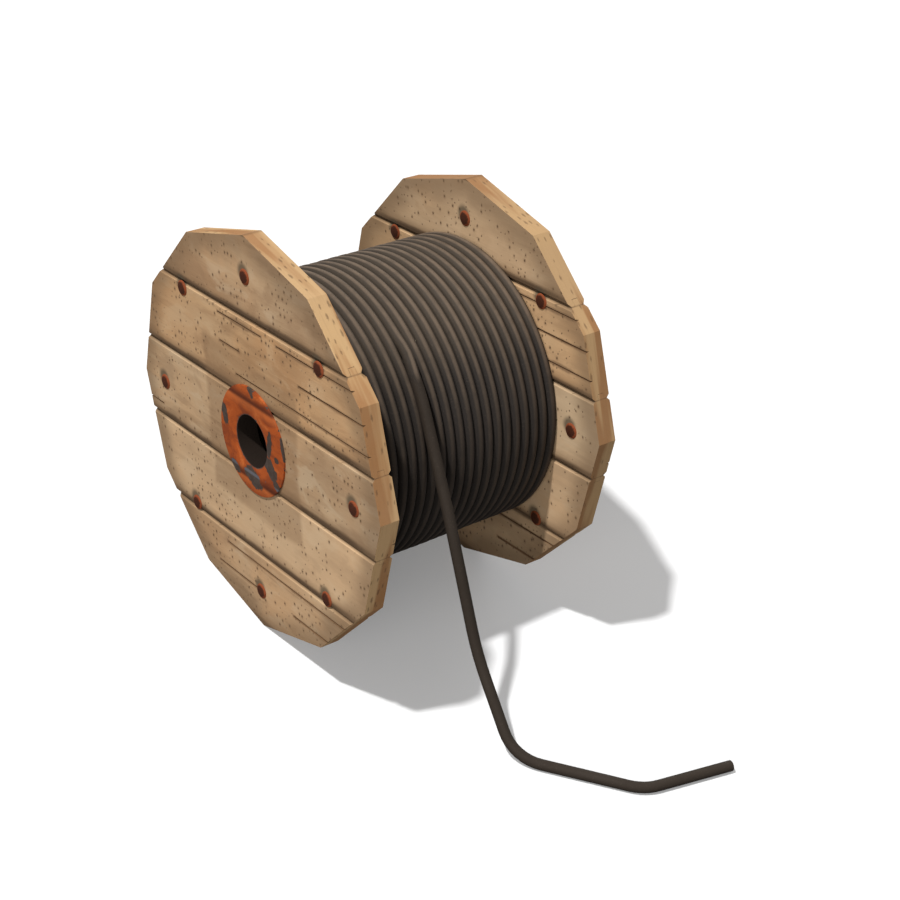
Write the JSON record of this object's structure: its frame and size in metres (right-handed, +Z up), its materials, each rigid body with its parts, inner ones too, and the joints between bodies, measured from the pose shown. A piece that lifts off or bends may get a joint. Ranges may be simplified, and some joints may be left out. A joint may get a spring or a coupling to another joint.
{
  "type": "cable reel",
  "caption": "Wooden cable reel: twelve-sided board flanges on a stave barrel, riveted, with bushed spindle bores, a full cable winding and one loose tail.",
  "frame": {"origin": "on the floor under the middle of the reel, leaving the loose tail out", "axes": "+X along the reel's axis, towards the flange farther from the camera; -Y towards the side where the loose tail lies; +Z up"},
  "size_m": [0.4601, 0.965, 0.6085],
  "materials": {
    "weathered_wood": "weathered sawn softwood, unpainted",
    "barrel_wood": "plain sawn softwood",
    "rusty_steel": "rusted",
    "orange_paint": "chipped orange paint",
    "cable_sheath": "matt dark brown-black sheath"
  },
  "bodies": {
    "root": {"left_board_1": "weathered_wood", "left_board_2": "weathered_wood", "left_board_3": "weathered_wood", "left_board_4": "weathered_wood", "left_board_5": "weathered_wood", "left_rivet_1": "rusty_steel", "left_rivet_2": "rusty_steel", "left_rivet_3": "rusty_steel", "left_rivet_4": "rusty_steel", "left_rivet_5": "rusty_steel", "left_rivet_6": "rusty_steel", "left_rivet_7": "rusty_steel", "left_rivet_8": "rusty_steel", "left_bush": "orange_paint", "right_board_1": "weathered_wood", "right_board_2": "weathered_wood", "right_board_3": "weathered_wood", "right_board_4": "weathered_wood", "right_board_5": "weathered_wood", "right_rivet_1": "rusty_steel", "right_rivet_2": "rusty_steel", "right_rivet_3": "rusty_steel", "right_rivet_4": "rusty_steel", "right_rivet_5": "rusty_steel", "right_rivet_6": "rusty_steel", "right_rivet_7": "rusty_steel", "right_rivet_8": "rusty_steel", "right_bush": "orange_paint", "stave_1": "barrel_wood", "stave_2": "barrel_wood", "stave_3": "barrel_wood", "stave_4": "barrel_wood", "stave_5": "barrel_wood", "stave_6": "barrel_wood", "stave_7": "barrel_wood", "stave_8": "barrel_wood", "stave_9": "barrel_wood", "stave_10": "barrel_wood", "stave_11": "barrel_wood", "stave_12": "barrel_wood", "cable_winding": "cable_sheath", "cable_tail": "cable_sheath"}
  },
  "joints": []
}
